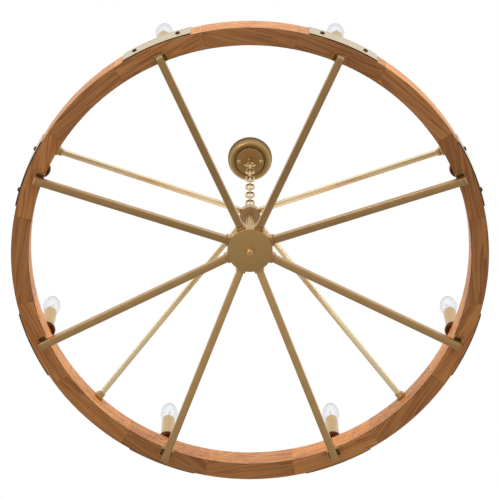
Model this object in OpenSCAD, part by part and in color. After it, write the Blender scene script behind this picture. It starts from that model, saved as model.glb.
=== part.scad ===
// Wagon wheel chandelier: a wooden rim on eight square brass spokes, eight candle lamps,
// four stay rods to a central stem, and a chain up to a stepped ceiling canopy.
// The origin is the centre of the ceiling plate's top face, +Z up, so the lamp hangs at negative z.

/* [Overall] */
// Outside diameter of the wooden rim
wheel_d = 914; // [840:2:1000]
// From the ceiling down to the underside of the wooden rim
drop = 680; // [650:1:780]

/* [Rim] */
// Radial width of the wood
rim_w = 34; // [30:0.5:40]
// Height of the wood
rim_h = 56; // [50:0.5:64]
// Chamfer on the wood's long edges
rim_edge = 1.5; // [0.5:0.1:3]

/* [Straps] */
// Length of a strap plate along the rim
strap_len = 138; // [120:1:150]
// Height of a strap plate
strap_h = 50; // [40:0.5:52]
// Thickness of a strap plate
strap_t = 2.5; // [1:0.1:3]
// Spacing of the two bolts of a strap plate
bolt_gap = 87; // [70:1:100]
// Diameter of a bolt's domed head
bolt_head_d = 9; // [7.5:0.5:14]
// Length of a bolt in the wood
bolt_len = 22; // [15:1:26]

/* [Spokes] */
// Width of the square spoke tube
spoke_w = 14; // [13.5:0.5:18]
// Wall of the spoke tube
spoke_wall = 1.5; // [1:0.1:2]
// From the rim's outside to the spoke's outer end
spoke_inset = 12; // [8:0.5:14]
// From the wood's underside down to the spoke's centre at its outer end
spoke_drop = 22; // [20:0.5:26]
// Thickness of the cap in a spoke's end
cap_t = 2; // [1:0.1:3]
// Length of the collar where a spoke enters the hub
collar_len = 7; // [5:0.5:9]
// Flange pan under the wood, along the rim
flange_l = 26; // [24:0.5:30]
// Flange pan under the wood, across the rim
flange_w = 17; // [15:0.5:19]
// Depth of the flange pan, open below
flange_t = 4; // [2.5:0.1:5]
// Wall of the flange pan
flange_wall = 1.5; // [1:0.1:2]
// Width of the square post between flange and spoke
post_w = 13; // [12.5:0.1:13.5]

/* [Hub] */
// Diameter of the hub
hub_d = 88; // [84:1:100]
// Height of the hub's shell
hub_h = 20; // [19:0.5:26]
// Wall of the hub's shell
hub_wall = 2; // [1.5:0.1:2.5]
// Thickness of the cover under the hub
cover_t = 3; // [2:0.1:4]
// Underside of the hub cover above the wood's underside
hub_rise = 60; // [40:0.5:70]
// Diameter of the round finial under the hub
finial_d = 16; // [14:0.5:20]

/* [Stem and stays] */
// Diameter of the stem tube
stem_d = 16; // [14:0.5:18]
// Wall of the stem tube
stem_wall = 2; // [1:0.1:2]
// Diameter of the foot ring at the stem's lower end
stem_foot_d = 24; // [22:1:30]
// Diameter of the upper hub
top_hub_d = 42; // [38:1:46]
// Height of the upper hub
top_hub_h = 18; // [17:0.5:22]
// Underside of the upper hub above the wood's underside
top_hub_rise = 272; // [250:1:300]
// Width of a square stay rod
stay_w = 10; // [8:0.5:11]
// Wall of a stay rod
stay_wall = 1.2; // [1:0.1:2]
// Angle of the two stays on the -Y side, from the X axis
stay_near = 29.6; // [26:0.1:31]
// Angle of the two stays on the +Y side, from the X axis
stay_far = 45; // [40:0.1:50]

/* [Lamps] */
// From the rim's outside to a lamp's centre
lamp_inset = 25; // [22:0.5:26]
// Diameter of a drip cup
cup_d = 36; // [33:0.5:42]
// Height of a drip cup
cup_h = 9; // [7:0.5:12]
// Thickness of the cup's metal
cup_t = 1.2; // [0.8:0.1:1.5]
// Outside diameter of a candle sleeve
sleeve_d = 26; // [25:0.5:28]
// Wall of a candle sleeve
sleeve_t = 1; // [0.8:0.1:1.2]
// Length of a candle sleeve
sleeve_h = 102; // [90:1:110]
// Diameter of a bulb at its widest
bulb_d = 35; // [32:0.5:38]
// Length of a bulb's glass above its socket
bulb_h = 82; // [74:1:90]
// Wall of a bulb's glass
glass_t = 1; // [0.8:0.1:1.5]
// Diameter of a bulb's screw cap
bulb_cap_d = 11.9; // [11.5:0.1:12.5]
// Length of a bulb's screw cap
bulb_cap_h = 21; // [18:0.5:23]

/* [Chain] */
// Wire diameter of a chain link
wire_d = 4.6; // [3.5:0.1:5]
// Outside width of a chain link
link_w = 20; // [19:0.5:24]
// Wire diameter of the two cast loops
loop_d = 5; // [4:0.1:5.5]
// Outside width of the two cast loops
loop_w = 27; // [25:0.5:30]

/* [Canopy] */
// Diameter of the canopy at the ceiling
canopy_d = 96; // [94:1:104]
// Depth of the canopy below the ceiling
canopy_h = 26; // [24:0.5:32]
// Thickness of the canopy's metal
canopy_t = 1.2; // [1:0.1:1.5]
// Diameter of the canopy's round crest
canopy_crest_d = 78; // [72:1:84]
// Diameter of the canopy's flat plate
canopy_plate_d = 60; // [56:1:66]
// Spacing of the two screws that hold the canopy
canopy_screw_gap = 47; // [44:1:50]
// Spacing of the ceiling box's screws
box_screw_gap = 69.85; // [66:0.05:72]
// Width of the ceiling plate
plate_w = 18; // [16:0.5:22]
// Thickness of the ceiling plate
plate_t = 2.5; // [2:0.1:3]

/* [Hidden] */
$fn = 96;
lamp_count = 8;
felloe_count = 2 * lamp_count;
link_count = 11;
felloe_a = 360 / felloe_count;
lamp_a = 360 / lamp_count;
first_a = lamp_a / 2;
stay_angles = [stay_far, 180 - stay_far, 180 + stay_near, -stay_near];
wheel_r = wheel_d / 2;
rim_r = wheel_r - rim_w;
gap = 0.3;
slack = 0.05;

// the ceiling plate fills the canopy's width but for some room at its corners
plate_room = 2;
plate_l = 2 * sqrt(pow(canopy_d / 2 - canopy_t - plate_room, 2) - pow(plate_w / 2, 2));

// the canopy's straight edge, its groove and how far the plate stands out past the crest
canopy_edge_h = 3;
canopy_groove_w = 2;
canopy_groove_h = 3;
canopy_crest_step = 2;

// pipe thread shared by the ceiling, hub and lamp nipples
nipple_r = 4.85;
nipple_bore = 3.2;
nipple_hole = nipple_r + slack;
nut_r = 8;
nut_h = 4;

// spokes rise from under the rim to the hub
lamp_r = wheel_r - lamp_inset;
spoke_end_r = wheel_r - spoke_inset;
hub_r = hub_d / 2;
hub_z = hub_rise + cover_t;
spoke_hub_z = hub_z + hub_h / 2 - 0.5;
spoke_tilt = atan2(spoke_hub_z + spoke_drop, spoke_end_r - hub_r);
spoke_in = 7;
spoke_len = (spoke_end_r - hub_r + spoke_in) / cos(spoke_tilt);
collar_w = spoke_w + 4.5;

// the plug of a spoke's cap stops short of the lamp's nipple
cap_plug_room = 1;
cap_plug = lamp_inset - spoke_inset - cap_t - nipple_r - cap_plug_room;

// finial and the nipple it screws on
finial_r = finial_d / 2;
finial_ring_t = 1.2;
finial_ring_out = 1.5;
hub_nipple_low = hub_rise - 7;
hub_nipple_high = hub_z + hub_h + 14;

// stays fall from the upper hub to the rim's inner face
top_hub_r = top_hub_d / 2;
stay_top_z = top_hub_rise + top_hub_h / 2;
foot_t = 6;
foot_w = 16;
foot_h = 17;
stay_low_r = rim_r - foot_t;
stay_low_z = rim_h - foot_h / 2 - 3;
stay_tilt = atan2(stay_top_z - stay_low_z, stay_low_r - top_hub_r);
stay_len = (stay_low_r - top_hub_r) / cos(stay_tilt);
stay_collar_w = stay_w + 3;
stay_collar_len = 6;

// lamps stand on the rim
cup_foot_r = sleeve_d / 2 + 1;
cup_z = rim_h;
sleeve_z = cup_z + cup_t;
socket_r = sleeve_d / 2 - sleeve_t - 1;
socket_lip_r = sleeve_d / 2 - sleeve_t - slack;
socket_z = sleeve_z + 4;
socket_top = sleeve_z + sleeve_h - 2;
socket_bore_r = bulb_cap_d / 2 + 0.1;
socket_floor = socket_top - bulb_cap_h - gap;
nipple_top = socket_z + 10;
nipple_low = -spoke_drop - 1;
bulb_r = bulb_d / 2;
bulb_neck_r = 7.5;
bulb_z = socket_top + gap;
bulb_belly = 0.42;

// chain pivots: the wire centres on which each link hangs
wire_r = wire_d / 2;
loop_r = loop_d / 2;
link_bend = link_w / 2 - wire_r;
loop_bend = loop_w / 2 - loop_r;
loop_neck_h = 7;
loop_foot_h = 3;
loop_reach = loop_foot_h + loop_neck_h + 2 * loop_bend;
loop_top_pivot = -canopy_h - loop_reach;
stem_loop_z = -drop + top_hub_rise + top_hub_h;
loop_low_pivot = stem_loop_z + loop_reach;
hang_first = loop_r + wire_r + gap;
hang_link = wire_d + gap;
pitch = (loop_top_pivot + hang_first - loop_low_pivot + hang_first - hang_link) / link_count;
link_len = pitch + hang_link;

link_names = [for (i = [1:link_count]) str("chain_link_", i < 10 ? "0" : "", i)];
spoke_names = [for (i = [1:lamp_count]) str("spoke_", i)];
stay_names = [for (i = [1:4]) str("stay_rod_", i)];
bulb_names = [for (i = [1:lamp_count]) str("bulb_", i)];

// ---- shared shapes ----

// a child drawn around the lamps and spokes, one at each of the eight places
module each_lamp() for (i = [1:lamp_count]) at_lamp(i) children();

module at_lamp(i) wheel_frame() rotate([0, 0, first_a + (i - 1) * lamp_a]) children();

// heights in the wheel are counted from the wood's underside
module wheel_frame() translate([0, 0, -drop]) children();

module ring(r_out, r_in, h) difference() {
    cylinder(r = r_out, h = h);
    translate([0, 0, -1]) cylinder(r = r_in, h = h + 2);
}

// nut with a true bore
module hex_nut() difference() {
    cylinder(r = nut_r, h = nut_h, $fn = 6);
    translate([0, 0, -1]) cylinder(r = nipple_hole, h = nut_h + 2);
}

module square_bar(length, width) translate([-length, -width / 2, -width / 2]) cube([length, width, width]);

module square_tube(length, width, wall) difference() {
    square_bar(length, width);
    translate([1, 0, 0]) square_bar(length + 2, width - 2 * wall);
}

// local x runs outward along the spoke and ends at its outer end
module along_spoke() translate([spoke_end_r, 0, -spoke_drop]) rotate([0, spoke_tilt, 0]) children();

// local x runs outward along the stay and ends at its foot
module along_stay(i)
    wheel_frame() rotate([0, 0, stay_angles[i - 1]])
        translate([stay_low_r, 0, stay_low_z]) rotate([0, stay_tilt, 0]) children();

// half of a ring of wire, in the XZ plane, on the +Z side
module wire_bend(bend, wire) rotate([90, 0, 0]) rotate_extrude(angle = 180) translate([bend, 0]) circle(r = wire, $fn = 32);

// ---- ceiling ----

module crossbar() color("#b9b4a8") difference() {
    translate([-plate_l / 2, -plate_w / 2, -plate_t]) cube([plate_l, plate_w, plate_t]);
    translate([0, 0, -plate_t - 1]) cylinder(r = nipple_hole, h = plate_t + 2);
    for (side = [-1, 1]) {
        translate([side * box_screw_gap / 2, 0, -plate_t - 1]) cylinder(r = 2.4, h = plate_t + 2);
        translate([side * canopy_screw_gap / 2, 0, -plate_t - 1]) cylinder(r = 2.05, h = plate_t + 2);
    }
}

// line of the canopy, lying d inside its outer face: from the rim at the ceiling over a round crest
// and a groove in to the flat plate that holds the screws
function canopy_line(d) = let (
    edge_r = canopy_d / 2 - d, crest_r = canopy_crest_d / 2, plate_r = canopy_plate_d / 2 - d,
    groove_r = canopy_plate_d / 2 + canopy_groove_w + d,
    edge_z = -canopy_edge_h, crest_z = -canopy_h + d + canopy_crest_step,
    groove_z = crest_z + canopy_groove_h
) concat(
    [[edge_r, 0]],
    [for (t = [0:10:90]) [crest_r + (edge_r - crest_r) * cos(t), edge_z + (crest_z - edge_z) * sin(t)]],
    [for (t = [15:15:90]) [crest_r - (crest_r - groove_r) * sin(t), groove_z + (crest_z - groove_z) * cos(t)]],
    [[plate_r, groove_z], [plate_r, -canopy_h + d], [0, -canopy_h + d]]
);

module canopy() color("#a98443") difference() {
    rotate_extrude() polygon(concat([[0, 0]], canopy_line(0)));
    rotate_extrude() polygon(concat([[0, 1], [canopy_d / 2 - canopy_t, 1]], canopy_line(canopy_t)));
    translate([0, 0, -canopy_h - 1]) cylinder(r = nipple_hole, h = canopy_h);
    for (side = [-1, 1]) translate([side * canopy_screw_gap / 2, 0, -canopy_h - 1]) cylinder(r = 2.2, h = canopy_h);
}

module canopy_screws() color("#c9a35a") for (side = [-1, 1]) translate([side * canopy_screw_gap / 2, 0, 0]) {
    translate([0, 0, -canopy_h]) cylinder(r = 2, h = canopy_h - 0.2);
    translate([0, 0, -canopy_h]) difference() {
        intersection() {
            translate([0, 0, 2.6]) sphere(r = 5.4, $fn = 48);
            translate([0, 0, -4]) cylinder(r = 6, h = 4);
        }
        translate([-6, -0.5, -4]) cube([12, 1, 2.2]);
    }
}

module ceiling_nipple() color("#a8a296") translate([0, 0, -canopy_h - 6]) ring(nipple_r, nipple_bore, canopy_h + 5.5);

module ceiling_nut() color("#a8a296") for (z = [-plate_t - nut_h, -canopy_h + canopy_t]) translate([0, 0, z]) hex_nut();

// cast loop: a round foot, a neck and a ring on triangular shoulders
module cast_loop(bore) {
    ring_z = loop_foot_h + loop_neck_h + loop_bend;
    difference() {
        union() {
            cylinder(r = 10, h = loop_foot_h);
            cylinder(r1 = 9, r2 = 6, h = loop_foot_h + loop_neck_h);
            rotate([90, 0, 0]) translate([0, 0, -loop_r * 0.8]) linear_extrude(loop_r * 1.6) difference() {
                polygon([[-4, loop_foot_h + 1], [4, loop_foot_h + 1], [loop_w / 2, ring_z], [-loop_w / 2, ring_z]]);
                translate([0, ring_z]) circle(r = loop_bend);
            }
        }
        translate([0, 0, -1]) cylinder(r = bore, h = 8);
    }
    translate([0, 0, ring_z]) for (flip = [0, 180]) rotate([0, flip, 0]) wire_bend(loop_bend, loop_r);
}

module ceiling_loop() color("#c9a35a") translate([0, 0, -canopy_h]) mirror([0, 0, 1]) cast_loop(nipple_hole);

// ---- chain ----

// an oval link hanging from z = 0, the centre of its upper wire, in the XZ plane
module chain_link() {
    translate([0, 0, -link_bend]) wire_bend(link_bend, wire_r);
    translate([0, 0, -link_len + link_bend]) rotate([0, 180, 0]) wire_bend(link_bend, wire_r);
    for (side = [-1, 1]) translate([side * link_bend, 0, -link_len + link_bend])
        cylinder(r = wire_r, h = link_len - 2 * link_bend, $fn = 32);
}

module chain(i) color("#d9bd85")
    translate([0, 0, loop_top_pivot + hang_first - (i - 1) * pitch])
        rotate([0, 0, i % 2 == 1 ? 90 : 0]) chain_link();

// ---- stem, hubs and stays ----

// its threaded stud stands in the upper hub
module stem_loop() color("#c9a35a") translate([0, 0, stem_loop_z]) {
    cast_loop(nipple_bore);
    translate([0, 0, -top_hub_h / 2]) ring(nipple_r, nipple_bore, top_hub_h / 2 + 1);
}

module upper_hub() color("#8f713c") wheel_frame() translate([0, 0, top_hub_rise]) difference() {
    union() {
        translate([0, 0, 1.5]) cylinder(r = top_hub_r, h = top_hub_h - 3);
        cylinder(r1 = top_hub_r - 1.5, r2 = top_hub_r, h = 1.5);
        translate([0, 0, top_hub_h - 1.5]) cylinder(r1 = top_hub_r, r2 = top_hub_r - 1.5, h = 1.5);
    }
    translate([0, 0, -1]) cylinder(r = nipple_hole, h = top_hub_h + 2);
    translate([0, 0, -1]) cylinder(r = stem_d / 2 + slack, h = top_hub_h / 2 - 1);
}

module stem_tube() color("#c8a45f") wheel_frame() difference() {
    union() {
        translate([0, 0, hub_z + hub_h]) cylinder(r = stem_d / 2, h = top_hub_rise + top_hub_h / 2 - 2 - hub_z - hub_h);
        translate([0, 0, hub_z + hub_h]) cylinder(r1 = stem_foot_d / 2, r2 = stem_foot_d / 2 - 1, h = 4);
    }
    translate([0, 0, hub_z + hub_h - 1]) cylinder(r = stem_d / 2 - stem_wall, h = top_hub_rise);
}

module spoke_sections(width) for (i = [1:lamp_count]) rotate([0, 0, first_a + (i - 1) * lamp_a])
    along_spoke() square_bar(spoke_len + 1, width);

// shell open below, with a window for each spoke
module hub_shell() color("#b08c4b") wheel_frame() difference() {
    translate([0, 0, hub_z]) cylinder(r = hub_r, h = hub_h);
    translate([0, 0, hub_z - 1]) cylinder(r = hub_r - hub_wall, h = hub_h + 1 - hub_wall);
    translate([0, 0, hub_z]) cylinder(r = nipple_hole, h = hub_h + 1);
    spoke_sections(spoke_w + 2 * slack);
}

module hub_cover() color("#957343") wheel_frame() translate([0, 0, hub_rise]) difference() {
    union() {
        cylinder(r1 = hub_r - 0.8, r2 = hub_r, h = 0.8);
        translate([0, 0, 0.8]) cylinder(r = hub_r, h = cover_t - 0.8);
    }
    translate([0, 0, -1]) cylinder(r = nipple_hole, h = cover_t + 2);
}

module hub_nipple() color("#a8a296") wheel_frame()
    translate([0, 0, hub_nipple_low]) ring(nipple_r, nipple_bore, hub_nipple_high - hub_nipple_low);

// one nut under the hub's top plate and one screwed into the stem's foot
module hub_nut() color("#a8a296") wheel_frame() {
    translate([0, 0, hub_z + hub_h - hub_wall - nut_h]) hex_nut();
    translate([0, 0, hub_z + hub_h]) ring(stem_d / 2 - stem_wall - slack, nipple_hole, 12);
}

// turned knob on the nipple's lower end: a thin ring against the cover and a round head
module finial() color("#a88a52") wheel_frame() translate([0, 0, hub_rise - gap]) difference() {
    union() {
        translate([0, 0, -finial_ring_t]) cylinder(r = finial_r + finial_ring_out, h = finial_ring_t);
        intersection() {
            translate([0, 0, -finial_r * 0.8]) sphere(r = finial_r);
            translate([0, 0, -finial_d]) cylinder(r = finial_r, h = finial_d);
        }
    }
    translate([0, 0, -8]) cylinder(r = nipple_hole, h = 9);
}

module stay_rod(i) color("#ddbe80") difference() {
    along_stay(i) translate([4, 0, 0]) square_tube(stay_len + 8, stay_w, stay_wall);
    wheel_frame() cylinder(r = top_hub_r, h = drop);
    stay_foot_block(i);
}

module stay_foot_block(i) wheel_frame() rotate([0, 0, stay_angles[i - 1]])
    translate([stay_low_r, -foot_w / 2, stay_low_z - foot_h / 2]) cube([foot_t + 2, foot_w, foot_h]);

// pads on the rim's inner face, each with a collar round its stay
module stay_feet() color("#8f713c") for (i = [1:4]) intersection() {
    union() {
        stay_foot_block(i);
        difference() {
            along_stay(i) translate([4, 0, 0]) square_bar(stay_collar_len + 4, stay_collar_w);
            along_stay(i) translate([8, 0, 0]) square_bar(stay_len, stay_w + slack);
        }
    }
    wheel_frame() cylinder(r = rim_r, h = rim_h, $fn = 720);
}

// ---- spokes ----

module spoke(i) color("#967748") at_lamp(i) difference() {
    along_spoke() translate([-cap_t, 0, 0]) square_tube(spoke_len - cap_t, spoke_w, spoke_wall);
    translate([lamp_r, 0, -spoke_drop]) cylinder(r = nipple_hole, h = spoke_drop);
}

module spoke_collars() color("#8f713c") each_lamp() difference() {
    along_spoke() translate([-spoke_len + spoke_in + collar_len, 0, 0]) square_bar(collar_len + 4, collar_w);
    along_spoke() square_bar(spoke_len + 1, spoke_w + 2 * slack);
    cylinder(r = hub_r, h = drop);
}

module spoke_caps() color("#e0c48e") each_lamp() along_spoke() {
    square_bar(cap_t, spoke_w);
    square_bar(cap_t + cap_plug, spoke_w - 2 * spoke_wall - 2 * slack);
}

// pan on the wood's underside and a post in it down to the spoke, on the lamp's axis
module spoke_flanges() color("#7c6134") each_lamp() difference() {
    union() {
        translate([lamp_r, 0, 0]) difference() {
            flange_block(0, flange_t);
            translate([0, 0, -flange_wall]) flange_block(flange_wall, flange_t);
        }
        translate([lamp_r - post_w / 2, -post_w / 2, -spoke_drop]) cube([post_w, post_w, spoke_drop - 1]);
    }
    along_spoke() square_bar(spoke_len, spoke_w);
    translate([lamp_r, 0, -spoke_drop - 1]) cylinder(r = nipple_hole, h = spoke_drop + 2);
}

// the pan's outline set in on each side, from the wood down
module flange_block(inset, depth) translate([-flange_w / 2 + inset, -flange_l / 2 + inset, -depth])
    cube([flange_w - 2 * inset, flange_l - 2 * inset, depth]);

// ---- rim ----

// a glued segment of the ring, its long edges chamfered
module felloe() rotate([0, 0, -felloe_a / 2]) rotate_extrude(angle = felloe_a, $fn = 720) polygon([
    [rim_r + rim_edge, 0], [wheel_r - rim_edge, 0], [wheel_r, rim_edge], [wheel_r, rim_h - rim_edge],
    [wheel_r - rim_edge, rim_h], [rim_r + rim_edge, rim_h], [rim_r, rim_h - rim_edge], [rim_r, rim_edge]
]);

// bolt places are angles along the rim from the middle of a strap
bolt_a = bolt_gap / 2 / wheel_r * 180 / PI;

module at_bolts() for (side = [-1, 1]) rotate([0, 0, side * bolt_a])
    translate([wheel_r, 0, rim_h / 2]) rotate([0, 90, 0]) children();

module felloes_with_lamp() color("#8b5a33") each_lamp() difference() {
    felloe();
    translate([lamp_r, 0, -1]) cylinder(r = nipple_hole, h = rim_h + 2);
    at_bolts() translate([0, 0, -bolt_len]) cylinder(r = 3 + slack, h = bolt_len + 1);
}

module felloes_between() color("#9a663b") each_lamp() rotate([0, 0, felloe_a]) felloe();

module strap_plates() color("#c9b288") each_lamp() difference() {
    strap_a = strap_len / wheel_r * 180 / PI;
    rotate([0, 0, -strap_a / 2]) rotate_extrude(angle = strap_a, $fn = 720)
        translate([wheel_r, (rim_h - strap_h) / 2]) square([strap_t, strap_h]);
    at_bolts() translate([0, 0, -2]) cylinder(r = 3 + slack, h = strap_t + 4);
}

module strap_bolts() color("#4b4023") each_lamp() at_bolts() {
    translate([0, 0, -bolt_len + 0.5]) cylinder(r = 3, h = bolt_len + strap_t);
    translate([0, 0, strap_t]) intersection() {
        translate([0, 0, -2]) sphere(r = bolt_head_d / 2 + 1.2, $fn = 48);
        cylinder(r = bolt_head_d / 2, h = bolt_head_d);
    }
}

// ---- lamps ----

module lamp_nipples() color("#a8a296") each_lamp()
    translate([lamp_r, 0, nipple_low]) ring(nipple_r, nipple_bore, nipple_top - nipple_low);

// saucer with a flat foot under the sleeve and a raised edge
module drip_cups() color("#b08c4b") each_lamp() translate([lamp_r, 0, cup_z]) {
    cup_r = cup_d / 2;
    rise = cup_h - cup_t;
    rotate_extrude() polygon(concat(
        [[nipple_hole, 0], [cup_foot_r, 0]],
        [for (t = [15:15:90]) [cup_foot_r + (cup_r - cup_foot_r) * sin(t), rise * (1 - cos(t))]],
        [[cup_r, cup_h], [cup_r - cup_t, cup_h]],
        [for (t = [90:-15:0]) [cup_foot_r + (cup_r - cup_t - cup_foot_r) * sin(t), cup_t + (rise - 0.6) * (1 - cos(t))]],
        [[nipple_hole, cup_t]]
    ));
}

module candle_sleeves() color("#c8a868") each_lamp() translate([lamp_r, 0, sleeve_z])
    ring(sleeve_d / 2, sleeve_d / 2 - sleeve_t, sleeve_h);

// screw socket on the nipple, its lip centring it in the sleeve
module lamp_sockets() color("#e8e2d0") each_lamp() translate([lamp_r, 0, 0]) difference() {
    union() {
        translate([0, 0, socket_z]) cylinder(r = socket_r, h = socket_top - socket_z);
        translate([0, 0, socket_top - 4]) cylinder(r = socket_lip_r, h = 3);
        translate([0, 0, socket_z]) cylinder(r = socket_lip_r, h = 3);
    }
    translate([0, 0, socket_floor]) cylinder(r = socket_bore_r, h = bulb_cap_h + 5);
    translate([0, 0, socket_z - 1]) cylinder(r = nipple_hole, h = 11);
}

// radius of a candle bulb's glass at a fraction s of its height, from the neck to the rounded tip
function glass_r(s) = s < bulb_belly
    ? bulb_neck_r + (bulb_r - bulb_neck_r) * (1 - cos(180 * s / bulb_belly)) / 2
    : bulb_r * pow(cos(90 * (s - bulb_belly) / (1 - bulb_belly)), 0.56);

function glass_line(d) = [for (k = [0:28]) let (s = k / 28) [max(0, glass_r(s) - d), d + (bulb_h - 2 * d) * s]];

// hollow glass on a screw cap
module bulb(i) color([0.92, 0.95, 1, 0.35]) at_lamp(i) translate([lamp_r, 0, bulb_z]) {
    rotate_extrude($fn = 64) difference() {
        polygon(concat([[0, 0]], glass_line(0)));
        polygon(concat([[0, glass_t]], glass_line(glass_t)));
    }
    translate([0, 0, -bulb_cap_h]) cylinder(r = bulb_cap_d / 2, h = bulb_cap_h, $fn = 64);
}

crossbar();
canopy();
canopy_screws();
ceiling_nipple();
ceiling_nut();
ceiling_loop();
for (i = [1:link_count]) chain(i);
stem_loop();
upper_hub();
stem_tube();
hub_shell();
hub_cover();
hub_nipple();
hub_nut();
finial();
for (i = [1:4]) stay_rod(i);
stay_feet();
for (i = [1:lamp_count]) spoke(i);
spoke_collars();
spoke_caps();
spoke_flanges();
felloes_with_lamp();
felloes_between();
strap_plates();
strap_bolts();
lamp_nipples();
drip_cups();
candle_sleeves();
lamp_sockets();
for (i = [1:lamp_count]) bulb(i);
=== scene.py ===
import math

import bmesh
import bpy
from mathutils import Matrix, Vector


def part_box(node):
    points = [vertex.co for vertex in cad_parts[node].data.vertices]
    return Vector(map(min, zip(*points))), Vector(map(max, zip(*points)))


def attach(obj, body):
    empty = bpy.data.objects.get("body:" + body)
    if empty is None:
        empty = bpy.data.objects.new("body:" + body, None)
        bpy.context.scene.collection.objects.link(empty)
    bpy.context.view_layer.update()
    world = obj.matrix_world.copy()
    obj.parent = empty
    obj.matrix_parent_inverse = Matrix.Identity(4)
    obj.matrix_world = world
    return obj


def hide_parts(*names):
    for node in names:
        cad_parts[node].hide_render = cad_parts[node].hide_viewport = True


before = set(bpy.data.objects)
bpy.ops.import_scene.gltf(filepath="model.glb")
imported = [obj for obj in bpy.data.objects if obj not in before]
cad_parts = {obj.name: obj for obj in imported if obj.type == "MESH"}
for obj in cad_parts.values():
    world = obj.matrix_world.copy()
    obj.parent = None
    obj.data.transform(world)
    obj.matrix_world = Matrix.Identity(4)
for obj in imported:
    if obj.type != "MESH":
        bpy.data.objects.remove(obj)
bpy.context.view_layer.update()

MM = 0.001

# ---- Camera and studio ----
# The lamp is seen from far below, with the camera tilted 19 degrees off the lamp's own axis. A wide
# round floor lies well under the camera, and everything else round the lamp is plain white.

wood_low, wood_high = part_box("felloes_between")
wood_z, wood_top = wood_low.z, wood_high.z
CAMERA_TILT = math.radians(19)
CAMERA_DISTANCE = 4.5
CAMERA_REACH = 60
FOCAL_PIXELS = 2355
PICTURE_PIXELS = 500
CENTRE_BELOW_MIDDLE_PIXELS = 11
SENSOR_MM = 36

back = Vector((0, -math.sin(CAMERA_TILT), -math.cos(CAMERA_TILT)))
up = Vector((0, -math.cos(CAMERA_TILT), math.sin(CAMERA_TILT)))
right = up.cross(back)
aim = Vector((0, 0, wood_z)) + up * (CENTRE_BELOW_MIDDLE_PIXELS * CAMERA_DISTANCE / FOCAL_PIXELS)
camera = bpy.data.objects.new("camera", bpy.data.cameras.new("camera"))
camera.data.sensor_width = SENSOR_MM
camera.data.lens = FOCAL_PIXELS / PICTURE_PIXELS * SENSOR_MM
camera.data.clip_end = CAMERA_REACH
facing_wheel = Matrix((right, up, back)).transposed().to_4x4()
camera.matrix_world = Matrix.Translation(aim + back * CAMERA_DISTANCE) @ facing_wheel
bpy.context.collection.objects.link(camera)
bpy.context.scene.camera = camera
bpy.context.scene.view_settings.view_transform = "Standard"


def linear(colour):
    """An sRGB hex colour as the linear values that a shader takes."""
    parts = [int(colour[i:i + 2], 16) / 255 for i in (1, 3, 5)]
    return [c / 12.92 if c <= 0.04045 else ((c + 0.055) / 1.055) ** 2.4 for c in parts] + [1]


def add_node(tree, kind, inputs=None, **settings):
    """Adds a node with its settings, and sets or links its inputs."""
    made = tree.nodes.new(kind)
    for name, value in settings.items():
        setattr(made, name, value)
    for name, value in (inputs or {}).items():
        if isinstance(value, bpy.types.NodeSocket):
            tree.links.new(value, made.inputs[name])
        else:
            made.inputs[name].default_value = value
    return made


def new_material(name):
    """An empty node material and its tree."""
    made = bpy.data.materials.new(name)
    made.use_nodes = True
    made.node_tree.nodes.clear()
    return made, made.node_tree


# The room's light is strongest from the horizon. To the camera, in reflections and through glass it is
# plain white.
NADIR_LIGHT = 0.25
HORIZON_LIGHT = 1.25
ZENITH_LIGHT = 0.6
NADIR_LIGHT_BELOW = -0.5

world = bpy.data.worlds.new("white_room")
world.use_nodes = True
sky = world.node_tree
sky.nodes.clear()
ray = add_node(sky, "ShaderNodeLightPath")
way = add_node(sky, "ShaderNodeSeparateXYZ", {0: add_node(sky, "ShaderNodeTexCoord").outputs["Generated"]})
below = add_node(sky, "ShaderNodeMapRange", {
    "Value": way.outputs["Z"], "From Min": NADIR_LIGHT_BELOW, "From Max": 0.0,
    "To Min": NADIR_LIGHT, "To Max": HORIZON_LIGHT})
above = add_node(sky, "ShaderNodeMapRange", {
    "Value": way.outputs["Z"], "To Min": HORIZON_LIGHT, "To Max": ZENITH_LIGHT})
light = add_node(sky, "ShaderNodeMath", {
    0: below.outputs["Result"], 1: above.outputs["Result"]}, operation="MINIMUM")
seen = add_node(sky, "ShaderNodeMath", {
    0: ray.outputs["Is Camera Ray"], 1: ray.outputs["Is Glossy Ray"]}, operation="MAXIMUM")
seen = add_node(sky, "ShaderNodeMath", {
    0: seen.outputs[0], 1: ray.outputs["Is Transmission Ray"]}, operation="MAXIMUM")
lit = add_node(sky, "ShaderNodeBackground", {"Color": linear("#ffffff"), "Strength": light.outputs[0]})
white = add_node(sky, "ShaderNodeBackground", {"Color": linear("#ffffff"), "Strength": 1.0})
mixed = add_node(sky, "ShaderNodeMixShader", {0: seen.outputs[0], 1: lit.outputs[0], 2: white.outputs[0]})
add_node(sky, "ShaderNodeOutputWorld", {"Surface": mixed.outputs[0]})
bpy.context.scene.world = world

# The floor's paint carries painted light: it is paler towards the lamp's front, where the room is brighter,
# and greyer behind. To the camera and through glass it is plain white. Reflections see its paint, so
# that undersides come out darker than sides.
FLOOR_Z = -8.2
FLOOR_R = 16.0
FLOOR_SIDES = 96
PALE_FROM_Y = -6.5
GREY_TO_Y = 8.0

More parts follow.
